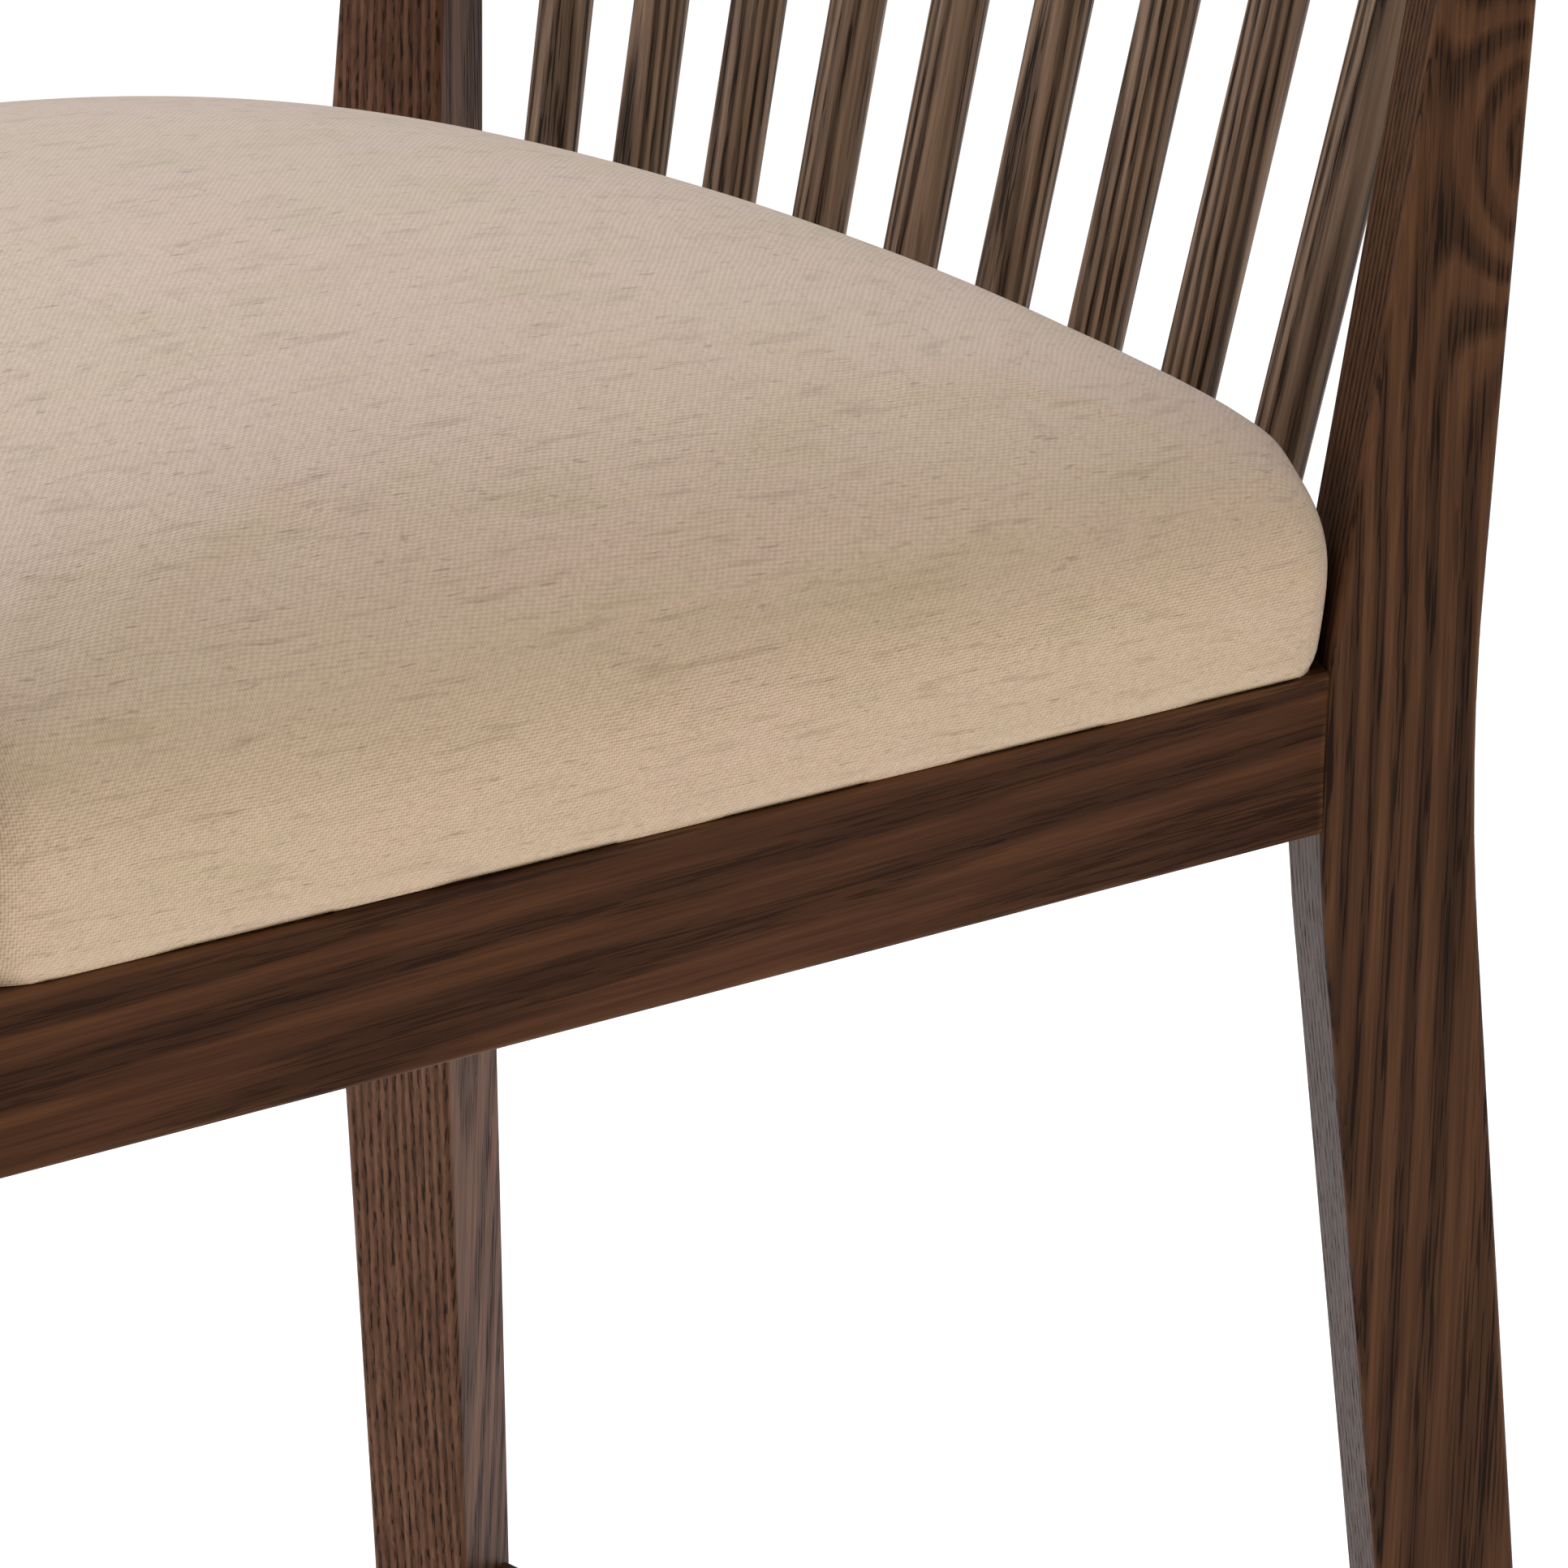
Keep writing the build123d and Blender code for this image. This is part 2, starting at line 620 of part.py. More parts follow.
def cushion_dome(inset):
    """A block whose top is the cushion's crowned surface, drawn this far inside it."""
    middle_y = (FRONT_RAIL_FACE_Y + SEAT_REAR_Y) / 2
    half_depth = SEAT_REAR_Y - middle_y - inset
    rows = []
    for row in range(CUSHION_GRID + 1):
        y = (2 * row / CUSHION_GRID - 1) * (half_depth + CUSHION_OVERLAP)
        half_width = rail_outer_x(middle_y + y) - inset
        points = []
        for column in range(CUSHION_GRID + 1):
            x = (2 * column / CUSHION_GRID - 1) * (half_width + CUSHION_OVERLAP)
            shoulder, crown = CUSHION_SHOULDER, CUSHION_CROWN
            for place, half in ((x, half_width), (y, half_depth)):
                shoulder *= 1 - CUSHION_EDGE_DROP * math.exp((abs(place) - half) / CUSHION_EDGE_REACH)
                crown *= 1 - (abs(place) / half) ** CUSHION_CROWN_POWER
            points.append((x, middle_y + y, RAIL_TOP + shoulder + crown - inset))
        rows.append(points)
    top = Face.make_surface_from_array_of_points(rows)
    return Solid.extrude(top, Vector(0, 0, -2 * (CUSHION_SHOULDER + CUSHION_CROWN)))


def cushion_body(inset):
    """The crowned block of the cushion on the rails, drawn this far inside its outer face."""
    with BuildPart() as body:
        with BuildSketch(Plane.XY.offset(RAIL_TOP)):
            add(seat_outline(inset))
        extrude(amount=CUSHION_SHOULDER + CUSHION_CROWN)
        add(cushion_dome(inset), mode=Mode.INTERSECT)
        fillet(body.faces().sort_by(Axis.Z)[-1].edges(), CUSHION_EDGE - inset)
    return body


def board_staples():
    """The staples around the dust cover: a flat crown below it, two legs into the board."""
    crown_z = RAIL_TOP - DUST_COVER_THICKNESS
    for index in range(STAPLES_PER_EDGE):
        share = (index + 1) / (STAPLES_PER_EDGE + 1)
        x = (2 * share - 1) * STAPLE_ROW_HALF
        y = STAPLE_FRONT_Y + STAPLE_SIDE_START + share * STAPLE_SIDE_LENGTH
        side_x = rail_outer_x(y) - SIDE_RAIL_THICKNESS - STAPLE_SIDE_GAP
        for place in ((x, STAPLE_FRONT_Y), (x, STAPLE_REAR_Y)):
            staple(Location((*place, crown_z)))
        for place in ((side_x, y), (-side_x, y)):
            staple(Location((*place, crown_z), (0, 0, 90)))


def staple(place):
    """One staple at a place, its crown along the place's X."""
    with Locations(place):
        Box(STAPLE_CROWN, STAPLE_WIRE, STAPLE_WIRE, align=(Align.CENTER, Align.CENTER, Align.MAX))
        for side in (-1, 1):
            with Locations((side * (STAPLE_CROWN - STAPLE_WIRE) / 2, 0, -STAPLE_WIRE)):
                Box(
                    STAPLE_WIRE, STAPLE_WIRE, STAPLE_LEG,
                    align=(Align.CENTER, Align.CENTER, Align.MIN),
                )


with BuildPart() as staples:
    board_staples()

with BuildPart() as seat_board:
    with BuildSketch(Plane.XY.offset(RAIL_TOP)):
        add(seat_outline(BOARD_INSET))
    extrude(amount=BOARD_THICKNESS)
    for fixing in (staples, seat_screws):
        add(fixing.part, mode=Mode.SUBTRACT)

with BuildPart() as seat_foam:
    add(cushion_body(COVER_THICKNESS).part)
    with BuildSketch(Plane.XY.offset(RAIL_TOP)):
        add(seat_outline(BOARD_INSET))
    extrude(amount=BOARD_THICKNESS, mode=Mode.SUBTRACT)
    add(seat_screws.part, mode=Mode.SUBTRACT)

with BuildPart() as seat_cover:
    add(cushion_body(0.0).part)
    add(cushion_body(COVER_THICKNESS).part, mode=Mode.SUBTRACT)

with BuildPart() as dust_cover:
    front_y = FRONT_RAIL_FACE_Y + FRONT_RAIL_THICKNESS + DUST_COVER_GAP
    rear_y = REAR_RAIL_CENTRE_Y - REAR_RAIL_THICKNESS / 2 - DUST_COVER_GAP
    side_gap = SIDE_RAIL_THICKNESS + DUST_COVER_GAP
    with BuildSketch(Plane.XY.offset(RAIL_TOP - DUST_COVER_THICKNESS)):
        with BuildLine():
            Polyline(
                (rail_outer_x(front_y) - side_gap, front_y),
                (rail_outer_x(rear_y) - side_gap, rear_y),
                (-rail_outer_x(rear_y) + side_gap, rear_y),
                (-rail_outer_x(front_y) + side_gap, front_y),
                close=True,
            )
        make_face()
    extrude(amount=DUST_COVER_THICKNESS)
    for block in (FRONT_BLOCK, REAR_BLOCK):
        rail_y = block[2][1]
        way = math.copysign(1.0, rail_y)
        outline = [
            (block[1][0] + DUST_NOTCH, block[1][1]),
            (block[1][0] - DUST_COVER_GAP, block[1][1] - way * DUST_COVER_GAP),
            (block[2][0] - DUST_COVER_GAP, rail_y - way * DUST_COVER_GAP),
            (block[2][0], rail_y + way * DUST_NOTCH),
            (block[0][0] + DUST_NOTCH, rail_y + way * DUST_NOTCH),
        ]
        with BuildSketch(Plane.XY.offset(RAIL_TOP - DUST_COVER_THICKNESS)):
            for side in (1, -1):
                with BuildLine():
                    Polyline(*[(side * x, y) for x, y in outline], close=True)
                make_face()
        extrude(amount=DUST_COVER_THICKNESS, mode=Mode.SUBTRACT)
    add(staples.part, mode=Mode.SUBTRACT)


# ---- screw holes in the rails, and the right-hand twins ------------------------------------


def drilled(piece):
    """A rail with the corner blocks' screw holes in it."""
    with BuildPart() as result:
        add(piece.part)
        add(block_screws.part, mode=Mode.SUBTRACT)
    return result


side_rail_left = drilled(side_rail_left)
front_rail = drilled(front_rail)
rear_rail = drilled(rear_rail)

with BuildPart() as side_rail_right:
    mirror(side_rail_left.part, about=Plane.YZ)

with BuildPart() as side_stretcher_right:
    mirror(side_stretcher_left.part, about=Plane.YZ)


# ---- write the pieces ---------------------------------------------------------------------

PIECES = {
    "rear_post_left": rear_post_left,
    "rear_post_right": rear_post_right,
    "front_post_left": front_post_left,
    "front_post_right": front_post_right,
    "side_rail_left": side_rail_left,
    "side_rail_right": side_rail_right,
    "rear_rail": rear_rail,
    "front_rail": front_rail,
    "crest_rail": crest_rail,
    "arm_left": arm_left,
    "arm_right": arm_right,
    **spindles,
    "rear_stretcher": rear_stretcher,
    "front_stretcher": front_stretcher,
    "side_stretcher_left": side_stretcher_left,
    "side_stretcher_right": side_stretcher_right,
    "rail_tenons": rail_tenons,
    "stretcher_tenons": stretcher_tenons,
    "arm_tenons": arm_tenons,
    "corner_block_front_left": corner_block_front_left,
    "corner_block_front_right": corner_block_front_right,
    "corner_block_rear_left": corner_block_rear_left,
    "corner_block_rear_right": corner_block_rear_right,
    "block_screws": block_screws,
    "seat_screws": seat_screws,
    "seat_board": seat_board,
    "seat_foam": seat_foam,
    "seat_cover": seat_cover,
    "dust_cover": dust_cover,
    "staples": staples,
    "glides": glides,
    "glide_nails": glide_nails,
}

for name, piece in PIECES.items():
    piece.part.label = name
    export_step(piece.part, f"parts/{name}.step")
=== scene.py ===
"""The wooden armchair's visual model: materials, cushion, dust cover, light and camera over the CAD frame."""
import math

import bmesh
import bpy
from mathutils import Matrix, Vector
from mathutils.bvhtree import BVHTree


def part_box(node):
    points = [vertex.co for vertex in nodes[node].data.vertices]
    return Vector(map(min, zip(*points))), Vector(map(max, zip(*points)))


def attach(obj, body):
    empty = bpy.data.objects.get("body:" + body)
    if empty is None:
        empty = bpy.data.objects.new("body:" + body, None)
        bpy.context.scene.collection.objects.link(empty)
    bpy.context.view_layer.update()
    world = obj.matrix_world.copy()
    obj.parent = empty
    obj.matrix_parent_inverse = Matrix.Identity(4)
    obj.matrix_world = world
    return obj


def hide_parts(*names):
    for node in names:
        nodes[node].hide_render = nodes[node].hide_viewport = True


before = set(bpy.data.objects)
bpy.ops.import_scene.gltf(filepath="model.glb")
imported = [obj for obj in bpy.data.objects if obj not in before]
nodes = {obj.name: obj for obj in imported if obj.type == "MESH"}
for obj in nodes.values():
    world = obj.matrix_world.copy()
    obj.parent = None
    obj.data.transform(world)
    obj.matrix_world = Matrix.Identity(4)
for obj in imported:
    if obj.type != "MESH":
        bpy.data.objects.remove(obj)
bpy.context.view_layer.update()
scene = bpy.context.scene
UP = Vector((0, 0, 1))

# ---- camera ---------------------------------------------------------------------------------

CAMERA_PLACE = (1.50614, -1.03138, 0.88712)
CAMERA_AZIMUTH = 51.419
CAMERA_ELEVATION = 15.230
CAMERA_LENS = 174.63
CAMERA_SENSOR = 36.0

camera_data = bpy.data.cameras.new("camera")
camera_data.lens = CAMERA_LENS
camera_data.sensor_width = CAMERA_SENSOR
camera_data.clip_start = 0.05
camera_data.clip_end = 60.0
camera = bpy.data.objects.new("camera", camera_data)
camera.location = CAMERA_PLACE
camera.rotation_euler = (math.radians(90 - CAMERA_ELEVATION), 0, math.radians(CAMERA_AZIMUTH))
scene.collection.objects.link(camera)
scene.camera = camera
scene.view_settings.view_transform = "Standard"

# ---- shader helpers -------------------------------------------------------------------------


class Shader:
    """A node material in the making. Inputs take either a value or another node's output."""

    def __init__(self, name):
        self.material = bpy.data.materials.new(name)
        self.material.use_nodes = True
        self.tree = self.material.node_tree
        self.surface = self.tree.nodes["Principled BSDF"]

    def node(self, kind, inputs, **settings):
        made = self.tree.nodes.new("ShaderNode" + kind)
        for key, value in settings.items():
            setattr(made, key, value)
        self.fill(made, inputs)
        return made

    def fill(self, made, inputs):
        for key, value in inputs.items():
            if isinstance(value, bpy.types.NodeSocket):
                self.tree.links.new(value, made.inputs[key])
            else:
                made.inputs[key].default_value = value

    def math(self, operation, *values):
        made = self.node("Math", dict(enumerate(values)), operation=operation)
        return made.outputs[0]

    def vector(self, operation, *values):
        made = self.node("VectorMath", dict(enumerate(values)), operation=operation)
        return made.outputs["Value" if operation in ("LENGTH", "DOT_PRODUCT") else "Vector"]

    def place(self):
        return self.node("TexCoord", {}).outputs["Object"]

    def mapped(self, vector, scale=(1, 1, 1), turn=(0, 0, 0), shift=(0, 0, 0)):
        inputs = {"Vector": vector, "Scale": scale, "Rotation": turn, "Location": shift}
        return self.node("Mapping", inputs).outputs[0]

    def noise(self, vector, scale, detail=2.0, roughness=0.5, distortion=0.0):
        inputs = {"Vector": vector, "Scale": scale, "Detail": detail,
                  "Roughness": roughness, "Distortion": distortion}
        return self.node("TexNoise", inputs).outputs["Fac"]

    def step(self, value, low, high, out_low=0.0, out_high=1.0):
        inputs = {"Value": value, "From Min": low, "From Max": high,
                  "To Min": out_low, "To Max": out_high}
        return self.node("MapRange", inputs, interpolation_type="SMOOTHSTEP").outputs[0]

    def ramp(self, value, stops):
        made = self.node("ValToRGB", {"Fac": value})
        elements = made.color_ramp.elements
        while len(elements) < len(stops):
            elements.new(1.0)
        for element, (place, level) in zip(elements, stops):
            element.position = place
            element.color = (level, level, level, 1.0)
        return made.outputs["Color"]

    def mix(self, share, first, second, blend="MIX"):
        made = self.tree.nodes.new("ShaderNodeMix")
        made.data_type = "RGBA"
        made.blend_type = blend
        for key, value in ((0, share), (6, first), (7, second)):
            if isinstance(value, bpy.types.NodeSocket):
                self.tree.links.new(value, made.inputs[key])
            else:
                made.inputs[key].default_value = value if key == 0 else (*value, 1.0)
        return made.outputs[2]

    def bump(self, height, strength, distance):
        inputs = {"Height": height, "Strength": strength, "Distance": distance}
        return self.node("Bump", inputs).outputs[0]

    def finish(self, **inputs):
        self.fill(self.surface, {key.replace("_", " "): value for key, value in inputs.items()})
        return self.material


def paint(obj, material):
    """Gives the whole object one material."""
    obj.data.materials.clear()
    obj.data.materials.append(material)
    obj.data.polygons.foreach_set("material_index", [0] * len(obj.data.polygons))


# ---- wood -----------------------------------------------------------------------------------

RING_SPACING = 0.0034
LIGHT_ASH = (0.105, 0.058, 0.033)
DARK_ASH = (0.030, 0.0145, 0.0085)
RED_ASH = (0.082, 0.034, 0.019)
PORE_BLACK = (0.009, 0.0055, 0.004)
WORN_ASH = (0.205, 0.098, 0.047)
# Noise scales per metre, across the fibres twice and then along them
DRIFT_SCALE = (7.0, 7.0, 1.7)
RIPPLE_SCALE = (60, 60, 7)
UNEVEN_SCALE = (120, 120, 5)
FIBRE_SCALE = (1500, 1500, 26)
STREAK_SCALE = (420, 420, 9)
PORE_SCALE = (1500, 1500, 38)
TINT_SCALE = (22, 22, 5)
RUB_SCALE = (55, 55, 16)
RIPPLE_SHARE = 0.55
RING_PROFILE = [(0.0, 0.5), (0.12, 1.0), (0.36, 0.85), (0.58, 0.14), (0.88, 0.0), (1.0, 0.5)]
STREAK_DARK, STREAK_LIGHT = (0.70, 0.68, 0.66), (1.22, 1.21, 1.18)
FIBRE_DARK, FIBRE_LIGHT = (0.72, 0.70, 0.68), (1.28, 1.28, 1.26)
RUB_RADIUS = 0.0032
PORE_DEPTH = 0.00035
SEED_STEP = Vector((0.37, 0.53, 0.71))


def ash(node, grain, seed, pith, light=LIGHT_ASH, dark=DARK_ASH, spacing=RING_SPACING,
        contrast=0.9, red=0.5, wander=0.010, wear=0.6, pores=1.0, knot=None):
    """Dark stained, open-pored ash: growth rings about a pith line, pores in the early wood.

    grain is the direction of the fibres, and pith is where the tree's middle lies from the
    piece's own middle: a direction across the piece and a distance."""
    s = Shader("ash_" + node)
    turn = Vector(grain).rotation_difference(UP)
    low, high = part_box(node)
    spot = seed * SEED_STEP
    away = turn @ Vector(pith[0])
    away.z = 0
    heart = spot + away.normalized() * pith[1]
    base = s.mapped(s.place(), turn=turn.to_euler(), shift=tuple(spot - turn @ ((low + high) / 2)))
    slow = s.mapped(base, scale=DRIFT_SCALE)
    warp = s.node("TexNoise", {"Vector": slow, "Scale": 1.0, "Detail": 2.5, "Roughness": 0.45})
    shifted = s.vector("SUBTRACT", warp.outputs["Color"], (0.5, 0.5, 0.5))
    wandered = s.vector("MULTIPLY_ADD", shifted, (2 * wander, 2 * wander, 0.0), base)
    flat = s.vector("MULTIPLY", s.vector("SUBTRACT", wandered, tuple(heart)), (1, 1, 0))
    radius = s.vector("LENGTH", flat)
    if knot:
        place, size, height = knot
        offset = s.vector("SUBTRACT", s.place(), place)
        reach = s.vector("LENGTH", s.vector("DIVIDE", offset, size))
        swirl = s.math("EXPONENT", s.math("MULTIPLY", s.math("MULTIPLY", reach, reach), -0.5))
        radius = s.math("MULTIPLY_ADD", swirl, height, radius)
    ripple = s.noise(s.mapped(base, scale=RIPPLE_SCALE), 1.0, 2.0)
    phase = s.math("MULTIPLY_ADD", ripple, RIPPLE_SHARE, s.math("DIVIDE", radius, spacing))
    share = s.math("FRACT", phase)
    early = s.ramp(share, RING_PROFILE)
    uneven = s.noise(s.mapped(base, scale=UNEVEN_SCALE), 1.0, 3.0)
    ring = s.math("MULTIPLY", early, s.step(uneven, 0.25, 0.75, 0.6, 1.0))
    fibre = s.noise(s.mapped(base, scale=FIBRE_SCALE), 1.0, 3.0, 0.6)
    streak = s.noise(s.mapped(base, scale=STREAK_SCALE), 1.0, 2.0)
    dashes = s.noise(s.mapped(base, scale=PORE_SCALE, shift=(3, 7, 1)), 1.0, 1.0)
    pore = s.math("MULTIPLY", s.step(dashes, 0.52, 0.61), s.math("MULTIPLY_ADD", early, 0.85, 0.12))
    tint = s.noise(s.mapped(base, scale=TINT_SCALE, shift=(1, 5, 9)), 1.0, 2.0)
    # light is the pale wood colour; the far rear post's and the spindles' colours passed in here also carry
    # painted light and sheen.
    warm = tuple(a * (1 - red) + b * red for a, b in zip(light, RED_ASH))
    ground = s.mix(s.step(tint, 0.3, 0.7), light, warm)
    stained = s.mix(s.math("MULTIPLY", ring, contrast), ground, dark)
    streaks = s.mix(s.step(streak, 0.3, 0.7), STREAK_DARK, STREAK_LIGHT)
    streaked = s.mix(0.75, stained, streaks, "MULTIPLY")
    fibres = s.mix(s.step(fibre, 0.25, 0.75), FIBRE_DARK, FIBRE_LIGHT)
    fine = s.mix(0.6, streaked, fibres, "MULTIPLY")
    edge = s.node("Bevel", {"Radius": RUB_RADIUS}, samples=4).outputs[0]
    flatness = s.vector("DOT_PRODUCT", edge, s.node("NewGeometry", {}).outputs["Normal"])
    rubbed = s.step(flatness, 0.995, 0.93)
    patchy = s.step(s.noise(s.mapped(base, scale=RUB_SCALE), 1.0, 3.0), 0.36, 0.68)
    worn = s.mix(s.math("MULTIPLY", s.math("MULTIPLY", rubbed, patchy), wear), fine, WORN_ASH)
    colour = s.mix(s.math("MULTIPLY", pore, 0.85 * pores), worn, PORE_BLACK)
    rough = s.math("MULTIPLY_ADD", pore, 0.25, s.step(fibre, 0.2, 0.8, 0.36, 0.47))
    relief = s.math("MULTIPLY_ADD", pore, -1.0 * pores, s.math("MULTIPLY", s.math("ADD", fibre, ring), -0.18))
    return s.finish(Base_Color=colour, Roughness=rough, Normal=s.bump(relief, 0.55, PORE_DEPTH),
                    Specular_IOR_Level=0.05, Coat_Weight=0.015, Coat_Roughness=0.3)


def pale_wood(name, grain, seed, light, dark):
    """Unfinished beech or birch: faint rings, short dark rays."""
    s = Shader(name)
    turn = Vector(grain).rotation_difference(UP).to_euler()
    base = s.mapped(s.place(), turn=turn, shift=(seed * 0.31, seed * 0.47, seed * 0.67))
    rings = s.noise(s.mapped(base, scale=(160, 40, 5)), 1.0, 3.0)
    fibre = s.noise(s.mapped(base, scale=(1300, 1300, 30)), 1.0, 2.0)
    rays = s.step(s.noise(s.mapped(base, scale=(1500, 900, 240)), 1.0, 1.0), 0.60, 0.72)
    ground = s.mix(s.step(rings, 0.3, 0.7), light, dark)
    fine = s.mix(s.step(fibre, 0.2, 0.8, 0.0, 0.35), ground, tuple(0.6 * c for c in dark))
    colour = s.mix(s.math("MULTIPLY", rays, 0.4), fine, tuple(0.4 * c for c in dark))
    return s.finish(Base_Color=colour, Roughness=s.step(fibre, 0.2, 0.8, 0.55, 0.72),
                    Normal=s.bump(s.math("SUBTRACT", fibre, rays), 0.4, 0.0002))


def ends(node):
    """The middles of a long piece's two ends, lowest first."""
    points = sorted((v.co.copy() for v in nodes[node].data.vertices), key=lambda p: p.z)
    count = max(4, len(points) // 12)
    total = Vector((0, 0, 0))
    return [sum(part, total) / count for part in (points[:count], points[-count:])]


REAR_KNOT_PLACE = (0.232, 0.214, 0.560)
REAR_KNOT_SIZE = (0.020, 0.014, 0.030)
REAR_KNOT_HEIGHT = 0.017
RAIL_LIGHT = (0.080, 0.0310, 0.0120)
RAIL_DARK = (0.026, 0.0100, 0.0045)
POST_LIGHT = (0.100, 0.0460, 0.0225)
# The far rear post's ash colour, made lighter and greyer than the near post's as painted light and sheen from
# the key lamp on its front faces.
FAR_POST_WOOD_AND_PAINTED_LIGHT = (0.185, 0.092, 0.056)
# The spindles' pale early wood, greyed and brightened as painted sheen: it stands in for their grey-white
# highlights.
SPINDLE_PALE_AND_SHEEN = (0.270, 0.178, 0.118)
SPINDLE_DARK = (0.020, 0.0125, 0.0088)
TURN = math.radians(29.0)
LEFT_SLANT = (-0.62, 0.78, 0.0)
RIGHT_FACE = (math.cos(TURN), math.sin(TURN), 0.0)

SIDEWAYS, ALONG = (1, 0, 0), (0, 1, 0)
RED_RAIL = dict(light=RAIL_LIGHT, dark=RAIL_DARK, red=0.3)
FRAME_WOOD = {
    "rear_post_left": dict(grain=(0.012, 0.03, 1), seed=1.7, pith=(LEFT_SLANT, 0.070), light=POST_LIGHT,
                           red=0.25, wander=0.004, spacing=0.0030,
                           knot=(REAR_KNOT_PLACE, REAR_KNOT_SIZE, REAR_KNOT_HEIGHT)),
    # The far rear post takes the lighter colour above: painted light and sheen over its wood.
    "rear_post_right": dict(grain=(-0.02, 0.03, 1), seed=4.3, pith=(RIGHT_FACE, 0.075),
                            light=FAR_POST_WOOD_AND_PAINTED_LIGHT, spacing=0.0026, wander=0.003, contrast=0.7),
    "front_post_left": dict(grain=(0.03, 0.01, 1), seed=7.9, pith=((-1, 0.3, 0), 0.055), light=POST_LIGHT),
    "front_post_right": dict(grain=(-0.03, 0.01, 1), seed=11.2, pith=((1, 0.3, 0), 0.060), light=POST_LIGHT),
    "side_rail_left": dict(grain=(-0.05, 1, 0.02), seed=2.6, pith=((-1, 0, -0.25), 0.050), wander=0.013,
                           spacing=0.0046, contrast=0.8, pores=0.6, **RED_RAIL),
    "side_rail_right": dict(grain=(0.05, 1, 0.02), seed=5.1, pith=((1, 0, 0.2), 0.055), wander=0.012,
                            spacing=0.0044, contrast=0.8, pores=0.6, **RED_RAIL),
    "rear_rail": dict(grain=SIDEWAYS, seed=8.8, pith=((0, -1, 0.4), 0.055), **RED_RAIL),
    "front_rail": dict(grain=SIDEWAYS, seed=12.4, pith=((0, 1, 0.3), 0.050), wander=0.012, spacing=0.0044,
                       **RED_RAIL),
    "crest_rail": dict(grain=SIDEWAYS, seed=3.9, pith=((0, 1, -0.5), 0.080), light=POST_LIGHT, red=0.3),
    "arm_left": dict(grain=(0.06, 1, 0), seed=6.6, pith=((0.2, 0, -1), 0.060), light=POST_LIGHT, red=0.3),
    "arm_right": dict(grain=(-0.06, 1, 0), seed=9.5, pith=((-0.3, 0, -1), 0.065), light=POST_LIGHT, red=0.3),
    "front_stretcher": dict(grain=SIDEWAYS, seed=10.3, pith=((0, 1, 0.6), 0.045), **RED_RAIL),
    "rear_stretcher": dict(grain=SIDEWAYS, seed=13.7, pith=((0, -1, 0.6), 0.050), **RED_RAIL),
    "side_stretcher_left": dict(grain=ALONG, seed=14.6, pith=((-1, 0, 0.5), 0.045), **RED_RAIL),
    "side_stretcher_right": dict(grain=ALONG, seed=15.8, pith=((1, 0, 0.6), 0.050), **RED_RAIL),
}
for name, look in FRAME_WOOD.items():
    paint(nodes[name], ash(name, **look))

SPINDLES = 9
for number in range(1, SPINDLES + 1):
    name = f"spindle_{number}"
    low, high = ends(name)
    side = (math.cos(2.4 * number), math.sin(2.4 * number), 0)
    # The spindles' pale colour carries painted sheen as well as their wood.
    paint(nodes[name], ash(
        name, high - low, seed=20 + 3.13 * number, pith=(side, 0.022 + 0.005 * (number % 4)),
        light=SPINDLE_PALE_AND_SHEEN, dark=SPINDLE_DARK, spacing=0.0027, red=0.05, wander=0.0022, wear=0.0,
        contrast=0.92,
    ))

BEECH_LIGHT, BEECH_DARK = (0.56, 0.36, 0.20), (0.42, 0.24, 0.13)
BLOCK_GRAIN = {"front_left": (1, 1, 0), "front_right": (-1, 1, 0),
               "rear_left": (-1, 1, 0), "rear_right": (1, 1, 0)}
for corner, grain in BLOCK_GRAIN.items():
    name = "corner_block_" + corner
    paint(nodes[name], pale_wood("beech_" + name, grain, len(name) * 1.3, BEECH_LIGHT, BEECH_DARK))
for name, grain in (("rail_tenons", ALONG), ("arm_tenons", ALONG), ("stretcher_tenons", SIDEWAYS)):
    paint(nodes[name], pale_wood("beech_" + name, grain, 4.4, BEECH_LIGHT, BEECH_DARK))

PLY_LIGHT, PLY_DARK, PLY_GLUE = (0.62, 0.45, 0.27), (0.50, 0.33, 0.18), (0.16, 0.09, 0.05)
PLY_THICKNESS = 0.0017


def plywood():
    """Birch ply: grain on the faces, thin glue lines between the layers."""
    s = Shader("birch_plywood")
    place = s.place()
    height = s.node("SeparateXYZ", {"Vector": place}).outputs["Z"]
    layer = s.math("FRACT", s.math("DIVIDE", height, PLY_THICKNESS))
    glue = s.step(layer, 0.86, 0.95)
    figure = s.noise(s.mapped(place, scale=(9, 70, 40)), 1.0, 4.0, distortion=0.6)
    fibre = s.noise(s.mapped(place, scale=(40, 1300, 900)), 1.0, 2.0)
    ground = s.mix(s.step(figure, 0.3, 0.7), PLY_LIGHT, PLY_DARK)
    fine = s.mix(s.step(fibre, 0.2, 0.8, 0.0, 0.3), ground, tuple(0.6 * c for c in PLY_DARK))
    normal = s.node("NewGeometry", {}).outputs["Normal"]
    upright = s.math("ABSOLUTE", s.node("SeparateXYZ", {"Vector": normal}).outputs["Z"])
    lines = s.math("MULTIPLY", glue, s.step(upright, 0.5, 0.2))
    return s.finish(Base_Color=s.mix(lines, fine, PLY_GLUE), Roughness=s.step(fibre, 0.2, 0.8, 0.5, 0.7),
                    Normal=s.bump(fibre, 0.3, 0.0002))


paint(nodes["seat_board"], plywood())

# ---- metal and plastic ----------------------------------------------------------------------


ZINC, ZINC_DULL = (0.62, 0.62, 0.58), (0.50, 0.49, 0.42)
WIRE, WIRE_DULL = (0.55, 0.56, 0.57), (0.38, 0.38, 0.38)
NYLON_BROWN, NYLON_SCUFFED = (0.105, 0.085, 0.068), (0.21, 0.19, 0.165)


